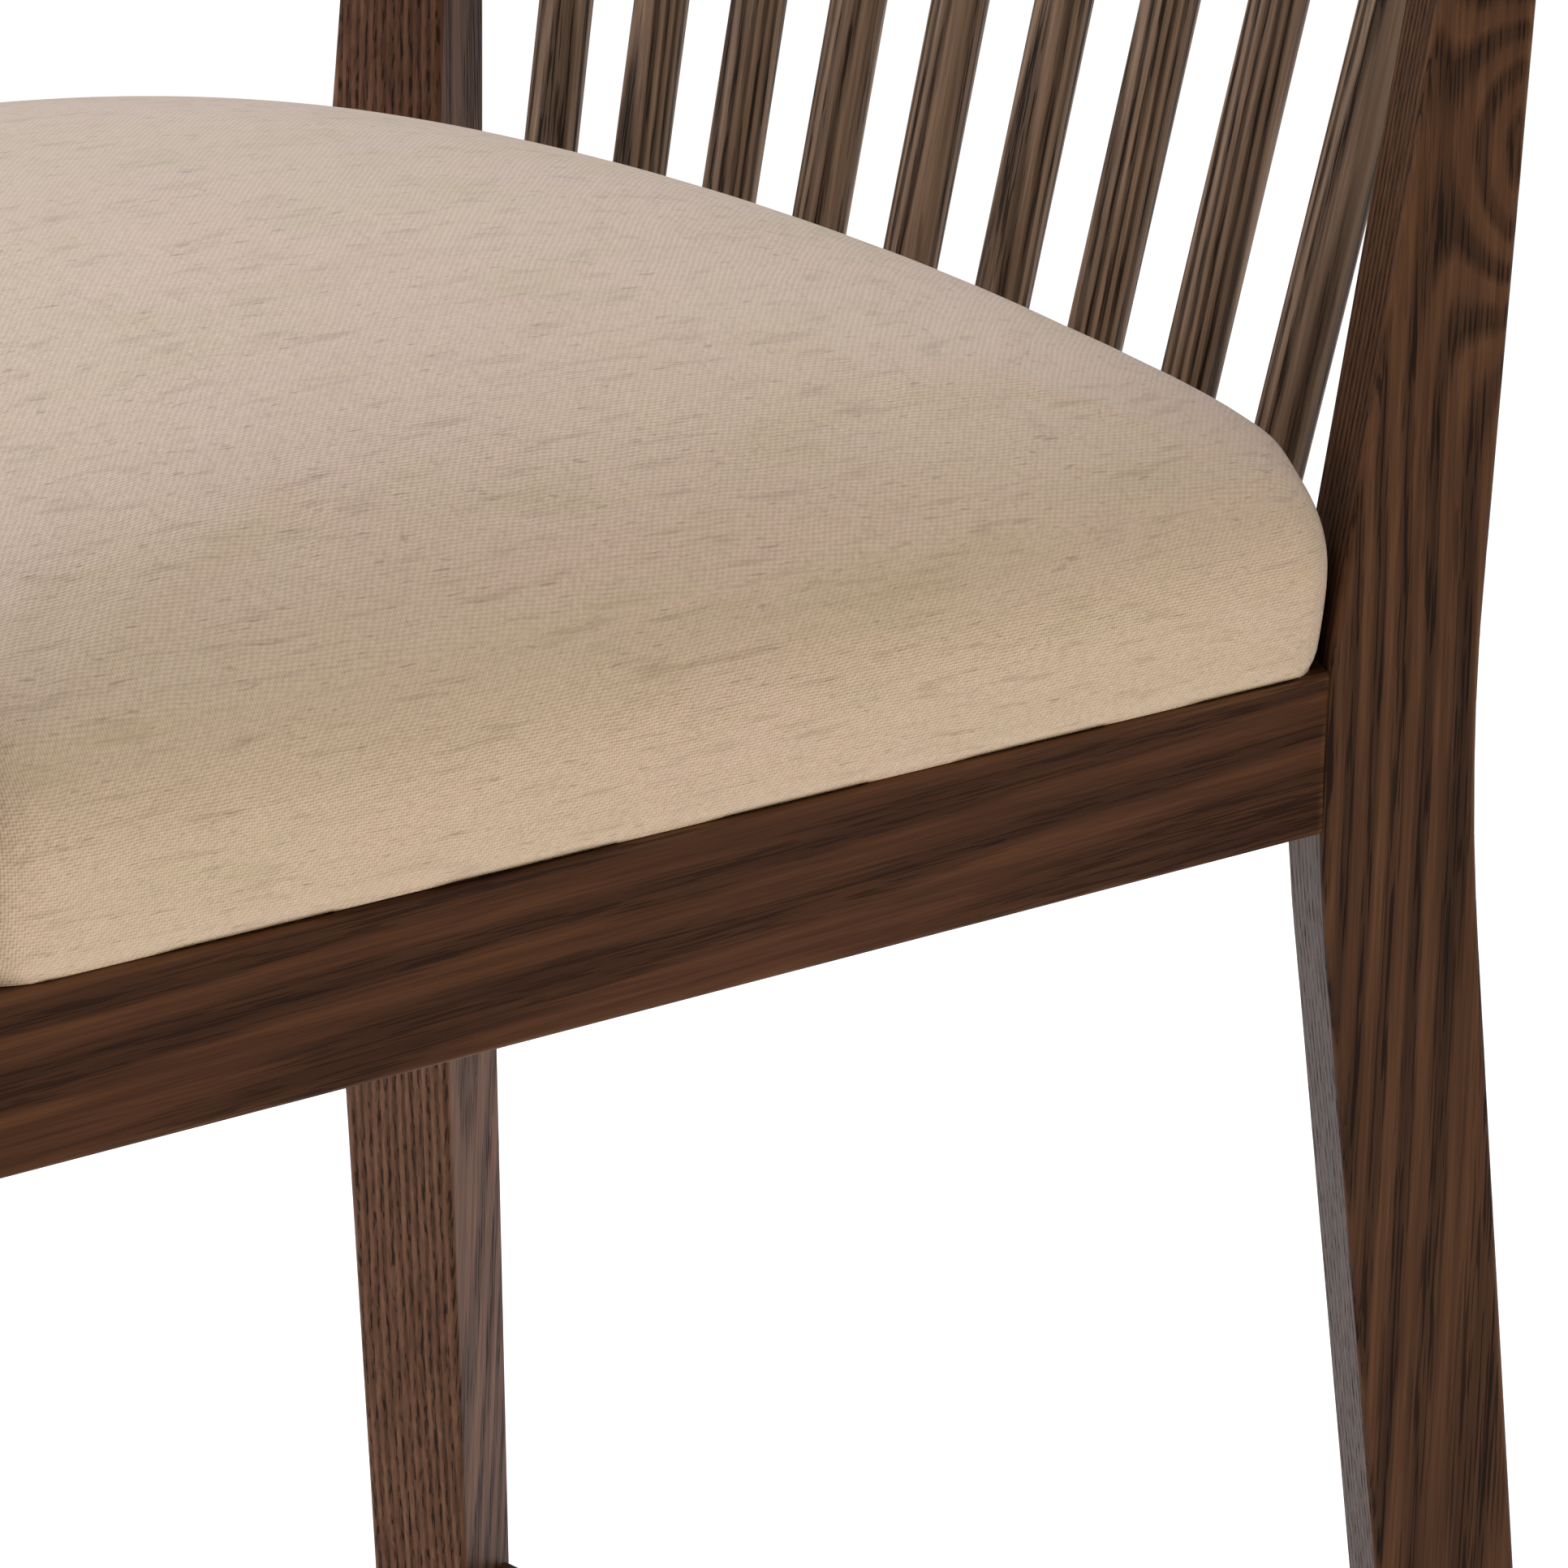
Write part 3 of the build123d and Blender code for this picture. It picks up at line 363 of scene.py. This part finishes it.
def metal(name, colour, dull, roughness):
    """Plated or drawn steel: cloudy plating, fine marks."""
    s = Shader(name)
    place = s.place()
    cloud = s.noise(place, 240.0, 3.0)
    marks = s.noise(s.mapped(place, scale=(900, 3800, 900)), 1.0, 2.0)
    shade = s.mix(s.step(cloud, 0.35, 0.7), colour, dull)
    return s.finish(Base_Color=shade, Metallic=1.0, Normal=s.bump(marks, 0.25, 0.0001),
                    Roughness=s.step(marks, 0.2, 0.8, roughness, roughness + 0.15))


def nylon():
    """Moulded grey-brown nylon with scuffed undersides."""
    s = Shader("nylon")
    place = s.place()
    grain = s.noise(place, 2600.0, 2.0)
    scuff = s.step(s.noise(s.mapped(place, scale=(300, 1200, 300)), 1.0, 3.0), 0.52, 0.7)
    shade = s.mix(s.math("MULTIPLY", scuff, 0.5), NYLON_BROWN, NYLON_SCUFFED)
    return s.finish(Base_Color=shade, Roughness=s.step(grain, 0.2, 0.8, 0.42, 0.6),
                    Normal=s.bump(grain, 0.2, 0.0001))


zinc = metal("zinc_plate", ZINC, ZINC_DULL, 0.28)
wire = metal("galvanised_wire", WIRE, WIRE_DULL, 0.34)
for name in ("block_screws", "seat_screws"):
    paint(nodes[name], zinc)
for name in ("staples", "glide_nails"):
    paint(nodes[name], wire)
paint(nodes["glides"], nylon())

# ---- fabric ---------------------------------------------------------------------------------

TWILL_PITCH = 0.00125
THREAD_PITCH = 0.00072
RIB_SHARE = 0.7
RIB_HEIGHT, THREAD_HEIGHT = 0.15, 0.18
THREAD_WOBBLE = 0.0016
THREAD_DARK, THREAD_LIGHT = (0.86, 0.84, 0.82), (1.10, 1.11, 1.12)
UNEVEN_THREAD_SCALE = (900, 500, 900)
SLUB_SCALE, SLUB_TURN = (260, 46, 560), (math.radians(-9), 0, math.radians(-3))
SHORT_SLUB_SCALE, SHORT_SLUB_TURN = (700, 150, 1300), (math.radians(-9), 0, 0)
CROSS_SLUB_SCALE = (60, 420, 190)
HAZE_SCALE, BAND_SCALE = (16, 10, 22), (34, 14, 120)
THREAD_DEPTH = 0.0005
LINEN = (0.640, 0.500, 0.352)
LINEN_PINK = (0.650, 0.490, 0.365)
LINEN_OLIVE = (0.580, 0.468, 0.300)
SLUB_BROWN = (0.20, 0.135, 0.085)
CAMBRIC, CAMBRIC_GREY, CAMBRIC_DOT = (0.012, 0.012, 0.013), (0.045, 0.044, 0.043), (0.006, 0.006, 0.007)
DOT_PITCH = 0.0022


def linen():
    """Oatmeal linen and cotton twill: diagonal ribs, crossing threads, stray dark slubs."""
    s = Shader("linen_twill")
    place = s.place()
    wobble = s.node("TexNoise", {"Vector": place, "Scale": 55.0, "Detail": 2.0})
    soft = s.vector("SUBTRACT", wobble.outputs["Color"], (0.5, 0.5, 0.5))
    woven = s.vector("MULTIPLY_ADD", soft, (THREAD_WOBBLE,) * 3, place)
    split = s.node("SeparateXYZ", {"Vector": woven})
    facing = s.vector("ABSOLUTE", s.node("NewGeometry", {}).outputs["Normal"])
    sides = s.node("SeparateXYZ", {"Vector": facing})
    flat = s.step(sides.outputs["Z"], 0.50, 0.62)
    sideways = s.step(s.math("SUBTRACT", sides.outputs["X"], sides.outputs["Y"]), -0.06, 0.06)
    uneven = s.noise(s.mapped(place, scale=UNEVEN_THREAD_SCALE), 1.0, 2.0)

    def weave(first, second, lean):
        """The height of ribs and threads, from two coordinates on the cloth."""
        across = s.math("MULTIPLY", first, 2 * math.pi / THREAD_PITCH)
        down = s.math("MULTIPLY", second, 2 * math.pi / THREAD_PITCH)
        threads = s.math("ADD", s.math("SINE", across), s.math("SINE", down))
        slope = s.math("MULTIPLY_ADD", second, lean, first)
        rib = s.math("SINE", s.math("MULTIPLY", slope, 2 * math.pi * RIB_SHARE / TWILL_PITCH))
        return s.math("MULTIPLY_ADD", rib, RIB_HEIGHT, s.math("MULTIPLY", threads, THREAD_HEIGHT))

    top = weave(split.outputs["X"], split.outputs["Y"], 1.0)
    right = weave(split.outputs["Y"], split.outputs["Z"], -1.0)
    front = weave(split.outputs["X"], split.outputs["Z"], 1.0)
    walls = s.math("MULTIPLY_ADD", sideways, s.math("SUBTRACT", right, front), front)
    cloth = s.math("MULTIPLY_ADD", flat, s.math("SUBTRACT", top, walls), walls)
    height = s.math("MULTIPLY_ADD", uneven, 0.9, cloth)
    along = s.mapped(place, scale=SLUB_SCALE, turn=SLUB_TURN)
    across = s.mapped(place, scale=CROSS_SLUB_SCALE, shift=(4, 2, 6))
    slub = s.step(s.noise(along, 1.0, 2.0, 0.55), 0.53, 0.74)
    brief = s.mapped(place, scale=SHORT_SLUB_SCALE, turn=SHORT_SLUB_TURN)
    short = s.step(s.noise(brief, 1.0, 1.0), 0.66, 0.76)
    cross = s.step(s.noise(across, 1.0, 2.0, 0.55), 0.58, 0.76)
    haze = s.noise(s.mapped(place, scale=HAZE_SCALE), 1.0, 3.0, 0.6)
    bands = s.noise(s.mapped(place, scale=BAND_SCALE, shift=(9, 1, 4)), 1.0, 3.0, 0.6)
    ground = s.mix(s.step(haze, 0.32, 0.66), LINEN_PINK, LINEN)
    olive = s.mix(s.step(bands, 0.5, 0.75, 0.0, 0.7), ground, LINEN_OLIVE)
    shaded = s.mix(s.step(height, 0.0, 0.95), THREAD_DARK, THREAD_LIGHT)
    lit = s.mix(1.0, olive, shaded, "MULTIPLY")
    slubs = s.math("MAXIMUM", slub, s.math("MULTIPLY", cross, 0.6))
    flecked = s.mix(s.math("MULTIPLY", slubs, 0.22), lit, SLUB_BROWN)
    colour = s.mix(s.math("MULTIPLY", short, 0.35), flecked, SLUB_BROWN)
    return s.finish(Base_Color=colour, Roughness=s.step(uneven, 0.2, 0.8, 0.82, 0.95),
                    Normal=s.bump(height, 0.55, THREAD_DEPTH), Specular_IOR_Level=0.2,
                    Sheen_Weight=0.22, Sheen_Roughness=0.45)


def cambric():
    """Thin black bonded cambric: pressed dot pattern, greyish fibres."""
    s = Shader("cambric")
    place = s.place()
    split = s.node("SeparateXYZ", {"Vector": place})
    waves = [s.math("MULTIPLY", split.outputs[axis], 2 * math.pi / DOT_PITCH) for axis in "XY"]
    dots = s.math("MULTIPLY", *[s.math("SINE", wave) for wave in waves])
    fibres = s.noise(s.mapped(place, scale=(900, 380, 500)), 1.0, 3.0, 0.7, 1.5)
    shade = s.mix(s.step(fibres, 0.42, 0.7), CAMBRIC, CAMBRIC_GREY)
    dotted = s.mix(s.step(dots, 0.2, 0.8, 0.0, 0.5), shade, CAMBRIC_DOT)
    return s.finish(Base_Color=dotted, Roughness=s.step(fibres, 0.2, 0.8, 0.65, 0.9),
                    Normal=s.bump(s.math("SUBTRACT", fibres, dots), 0.4, 0.0003))


# ---- cushion --------------------------------------------------------------------------------

CUSHION_VOXEL = 0.005
CUSHION_CLOTH = dict(quality=4, mass=0.3, tension_stiffness=20, compression_stiffness=20, shear_stiffness=8,
                     bending_stiffness=2.0, use_pressure=True, uniform_pressure_force=4.0)
CUSHION_FRAMES = 20
CUSHION_CAP = 0.003
CUSHION_LIFT = 0.3
CUSHION_SOFTEN = 22
CLEAR_GAP, CLEAR_REACH = 0.0004, 0.02
PIN_BAND = 0.006
WALL_FULL, WALL_TOP = 0.024, 0.060
WALL_SWELL = 0.0032
WALL_LEAN, WALL_REACH = 0.5, 0.011
TUCK_HEIGHT, TUCK_DEPTH, TUCK_FLOOR = 0.004, 0.0012, 0.0002
NEIGHBOURS = ("rear_post_left", "rear_post_right", "front_post_left", "front_post_right", "rear_rail",
              *(f"spindle_{number}" for number in range(1, SPINDLES + 1)))


def new_object(name, mesh, body="root"):
    """A new object in the scene, carried by the body."""
    made = bpy.data.objects.new(name, mesh)
    scene.collection.objects.link(made)
    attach(made, body)
    return made


def apply_modifiers(obj):
    """Bakes the object's modifiers into its mesh."""
    graph = bpy.context.evaluated_depsgraph_get()
    baked = bpy.data.meshes.new_from_object(obj.evaluated_get(graph))
    obj.modifiers.clear()
    obj.data = baked


def keep_clear(mesh, names, gap):
    """Moves points that lie in a neighbour, or nearly so, back to just outside it."""
    for name in names:
        tree = BVHTree.FromPolygons([v.co.copy() for v in nodes[name].data.vertices],
                                    [tuple(p.vertices) for p in nodes[name].data.polygons])
        for vertex in mesh.vertices:
            place, normal, _, _ = tree.find_nearest(vertex.co, CLEAR_REACH)
            if place is None:
                continue
            outside = (vertex.co - place).dot(normal)
            if outside < gap:
                vertex.co = place + normal * gap


def outer_skin(bottom):
    """The seat cover's outer side closed into one block, and a tree of its upright faces."""
    skin = bmesh.new()
    skin.from_mesh(nodes["seat_cover"].data)
    bmesh.ops.remove_doubles(skin, verts=skin.verts, dist=1e-6)
    skin.normal_update()
    rim = {f for f in skin.faces if max(v.co.z for v in f.verts) < bottom + PIN_BAND / 10}
    crown = max(skin.faces, key=lambda f: f.calc_center_median().z)
    outer, front = {crown}, [crown]
    while front:
        for edge in front.pop().edges:
            for face in edge.link_faces:
                if face not in outer and face not in rim:
                    outer.add(face)
                    front.append(face)
    bmesh.ops.delete(skin, geom=[f for f in skin.faces if f not in outer], context="FACES")
    bmesh.ops.holes_fill(skin, edges=[e for e in skin.edges if e.is_boundary])
    skin.verts.index_update()
    skin.normal_update()
    corners = [v.co.copy() for v in skin.verts]
    upright = [[v.index for v in f.verts] for f in skin.faces if abs(f.normal.z) < WALL_LEAN]
    wall = BVHTree.FromPolygons(corners, upright)
    mesh = bpy.data.meshes.new("cushion")
    skin.to_mesh(mesh)
    skin.free()
    return mesh, wall


def soften(pad, bottom):
    """Remeshes the block evenly and rounds everything above its lower edge."""
    remesh = pad.modifiers.new("remesh", "REMESH")
    remesh.mode = "VOXEL"
    remesh.voxel_size = CUSHION_VOXEL
    apply_modifiers(pad)
    loose = pad.vertex_groups.new(name="loose")
    loose.add([v.index for v in pad.data.vertices if v.co.z > bottom + PIN_BAND], 1.0, "REPLACE")
    relax = pad.modifiers.new("relax", "SMOOTH")
    relax.factor = 0.5
    relax.iterations = CUSHION_SOFTEN
    relax.vertex_group = "loose"
    apply_modifiers(pad)


def inflate(pad, bottom):
    """Blows the cloth up by simulation, with its lower edge pinned."""
    group = pad.vertex_groups.new(name="pinned")
    group.add([v.index for v in pad.data.vertices if v.co.z < bottom + PIN_BAND], 1.0, "REPLACE")
    cloth = pad.modifiers.new("cloth", "CLOTH")
    for setting, value in CUSHION_CLOTH.items():
        setattr(cloth.settings, setting, value)
    cloth.settings.effector_weights.gravity = 0
    cloth.settings.vertex_group_mass = "pinned"
    cloth.collision_settings.use_collision = False
    for step in range(1, CUSHION_FRAMES + 1):
        scene.frame_set(step)
    apply_modifiers(pad)
    scene.frame_set(1)


def hold_to_wall(place, wall, height):
    """A point of the side drawn to the cover's own wall, which swells a little at its middle."""
    hold = min(1.0, max(0.0, (WALL_TOP - height) / (WALL_TOP - WALL_FULL)))
    wall_place, wall_normal, _, _ = wall.find_nearest(place, WALL_REACH)
    if wall_place is None:
        return place
    swell = WALL_SWELL * math.sin(math.pi * min(1.0, height / WALL_TOP))
    target = wall_place + Vector((wall_normal.x, wall_normal.y, 0)) * swell
    target.z = place.z
    return place.lerp(target, hold * hold * (3 - 2 * hold))


def cushion():
    """The seat pad: the cover's outer skin over its foam, swollen by cloth simulation until it is tight."""
    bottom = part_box("seat_foam")[0].z
    mesh, wall = outer_skin(bottom)
    pad = new_object("cushion", mesh)
    soften(pad, bottom)
    start = [v.co.copy() for v in pad.data.vertices]
    normals = [v.normal.copy() for v in pad.data.vertices]
    inflate(pad, bottom)
    for vertex, place, normal in zip(pad.data.vertices, start, normals):
        move = vertex.co - place
        move.z *= CUSHION_LIFT
        if move.length > CUSHION_CAP:
            move *= CUSHION_CAP / move.length
        vertex.co = place + move
        vertex.co = hold_to_wall(vertex.co.copy(), wall, max(0.0, vertex.co.z - bottom))
    finer = pad.modifiers.new("finer", "SUBSURF")
    finer.levels = finer.render_levels = 1
    apply_modifiers(pad)
    keep_clear(pad.data, NEIGHBOURS, CLEAR_GAP)
    normals = [v.normal.copy() for v in pad.data.vertices]
    for vertex, normal in zip(pad.data.vertices, normals):
        tuck = max(0.0, 1 - (vertex.co.z - bottom) / TUCK_HEIGHT)
        vertex.co -= Vector((normal.x, normal.y, 0)) * tuck * TUCK_DEPTH
        vertex.co.z = max(vertex.co.z, bottom + TUCK_FLOOR)
    pad.data.polygons.foreach_set("use_smooth", [True] * len(pad.data.polygons))
    paint(pad, linen())
    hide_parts("seat_cover", "seat_foam")


cushion()

# ---- dust cover -----------------------------------------------------------------------------

SHEET_CUT = 0.008
SHEET_SAG = 0.0025
SHEET_PUCKER = 0.0006
SHEET_PUCKER_PITCH = 0.045
SHEET_HELD = 0.03
PUCKER_PLACE, PUCKER_WIDTH = 0.012, 0.02


def dust_sheet():
    """The dust cover's lower face cut fine, sagging a little, puckered between its staples."""
    low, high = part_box("dust_cover")
    made = bmesh.new()
    made.from_mesh(nodes["dust_cover"].data)
    made.normal_update()
    bmesh.ops.delete(made, geom=[f for f in made.faces if f.normal.z > -0.9], context="FACES")
    bmesh.ops.remove_doubles(made, verts=made.verts, dist=1e-5)
    area = sum(f.calc_area() for f in made.faces)
    for axis in (0, 1):
        place = low[axis] + SHEET_CUT
        normal = (1, 0, 0) if axis == 0 else (0, 1, 0)
        while place < high[axis]:
            point = [0, 0, low.z]
            point[axis] = place
            bmesh.ops.bisect_plane(made, geom=[*made.verts, *made.edges, *made.faces], plane_co=point,
                                   plane_no=normal)
            place += SHEET_CUT
    edge_points = [v.co.copy() for v in made.verts if v.is_boundary]
    middle, half = (low + high) / 2, (high - low) / 2
    for vertex in made.verts:
        s = (vertex.co.x - middle.x) / half.x
        t = (vertex.co.y - middle.y) / half.y
        inward = min((vertex.co - p).length for p in edge_points)
        free = min(1.0, inward / SHEET_HELD)
        sag = SHEET_SAG * (1 - s * s) * (1 - t * t)
        pucker = SHEET_PUCKER * math.cos(2 * math.pi * vertex.co.x / SHEET_PUCKER_PITCH)
        pucker += SHEET_PUCKER * math.cos(2 * math.pi * vertex.co.y / SHEET_PUCKER_PITCH)
        rim = max(0.0, 1 - abs(inward - PUCKER_PLACE) / PUCKER_WIDTH)
        vertex.co.z -= sag * free + abs(pucker) * rim * free
    mesh = bpy.data.meshes.new("dust_sheet")
    made.to_mesh(mesh)
    made.free()
    mesh.polygons.foreach_set("use_smooth", [True] * len(mesh.polygons))
    cover = new_object("dust_sheet", mesh)
    paint(cover, cambric())
    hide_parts("dust_cover")


dust_sheet()

# ---- floor, backdrop and light --------------------------------------------------------------

FLOOR_HALF = 14.0
FLOOR_GREY, FLOOR_GLOW = (0.60, 0.60, 0.60, 1), 0.80
WHITE = (1.0, 1.0, 1.0, 1.0)
WORLD_LIGHT = 0.28
SEAT = (0.0, 0.0, 0.5)
LIGHTS = {
    "overhead": dict(place=(-0.3, 0.1, 2.5), size=(2.6, 2.6), power=46.0, colour=(0.84, 0.92, 1.12)),
    "key": dict(place=(-1.1, -2.3, 1.5), size=(1.6, 1.8), power=30.0, colour=(0.92, 0.96, 1.06)),
    "fill": dict(place=(2.4, -0.3, 1.1), size=(1.6, 1.6), power=11.0, colour=(1.0, 0.76, 0.48)),
}


def floor():
    """A wide sheet of white paper that glows a little."""
    mesh = bpy.data.meshes.new("floor")
    mesh.from_pydata([(-FLOOR_HALF, -FLOOR_HALF, 0), (FLOOR_HALF, -FLOOR_HALF, 0),
                      (FLOOR_HALF, FLOOR_HALF, 0), (-FLOOR_HALF, FLOOR_HALF, 0)], [], [(0, 1, 2, 3)])
    made = bpy.data.objects.new("floor", mesh)
    scene.collection.objects.link(made)
    s = Shader("floor_paper")
    paint(made, s.finish(Base_Color=FLOOR_GREY, Roughness=0.9, Specular_IOR_Level=0.1,
                         Emission_Color=WHITE, Emission_Strength=FLOOR_GLOW))


def area_light(name, place, size, power, colour):
    """A rectangular lamp aimed at the seat."""
    data = bpy.data.lights.new(name, "AREA")
    data.shape = "RECTANGLE"
    data.size, data.size_y = size
    data.energy = power
    data.color = colour
    lamp = bpy.data.objects.new(name, data)
    lamp.location = place
    lamp.rotation_euler = (Vector(SEAT) - Vector(place)).to_track_quat("-Z", "Y").to_euler()
    scene.collection.objects.link(lamp)


floor()
for name, lamp in LIGHTS.items():
    area_light(name, **lamp)

world = bpy.data.worlds.new("studio")
world.use_nodes = True
world.node_tree.nodes["Background"].inputs["Color"].default_value = WHITE
world.node_tree.nodes["Background"].inputs["Strength"].default_value = WORLD_LIGHT
scene.world = world
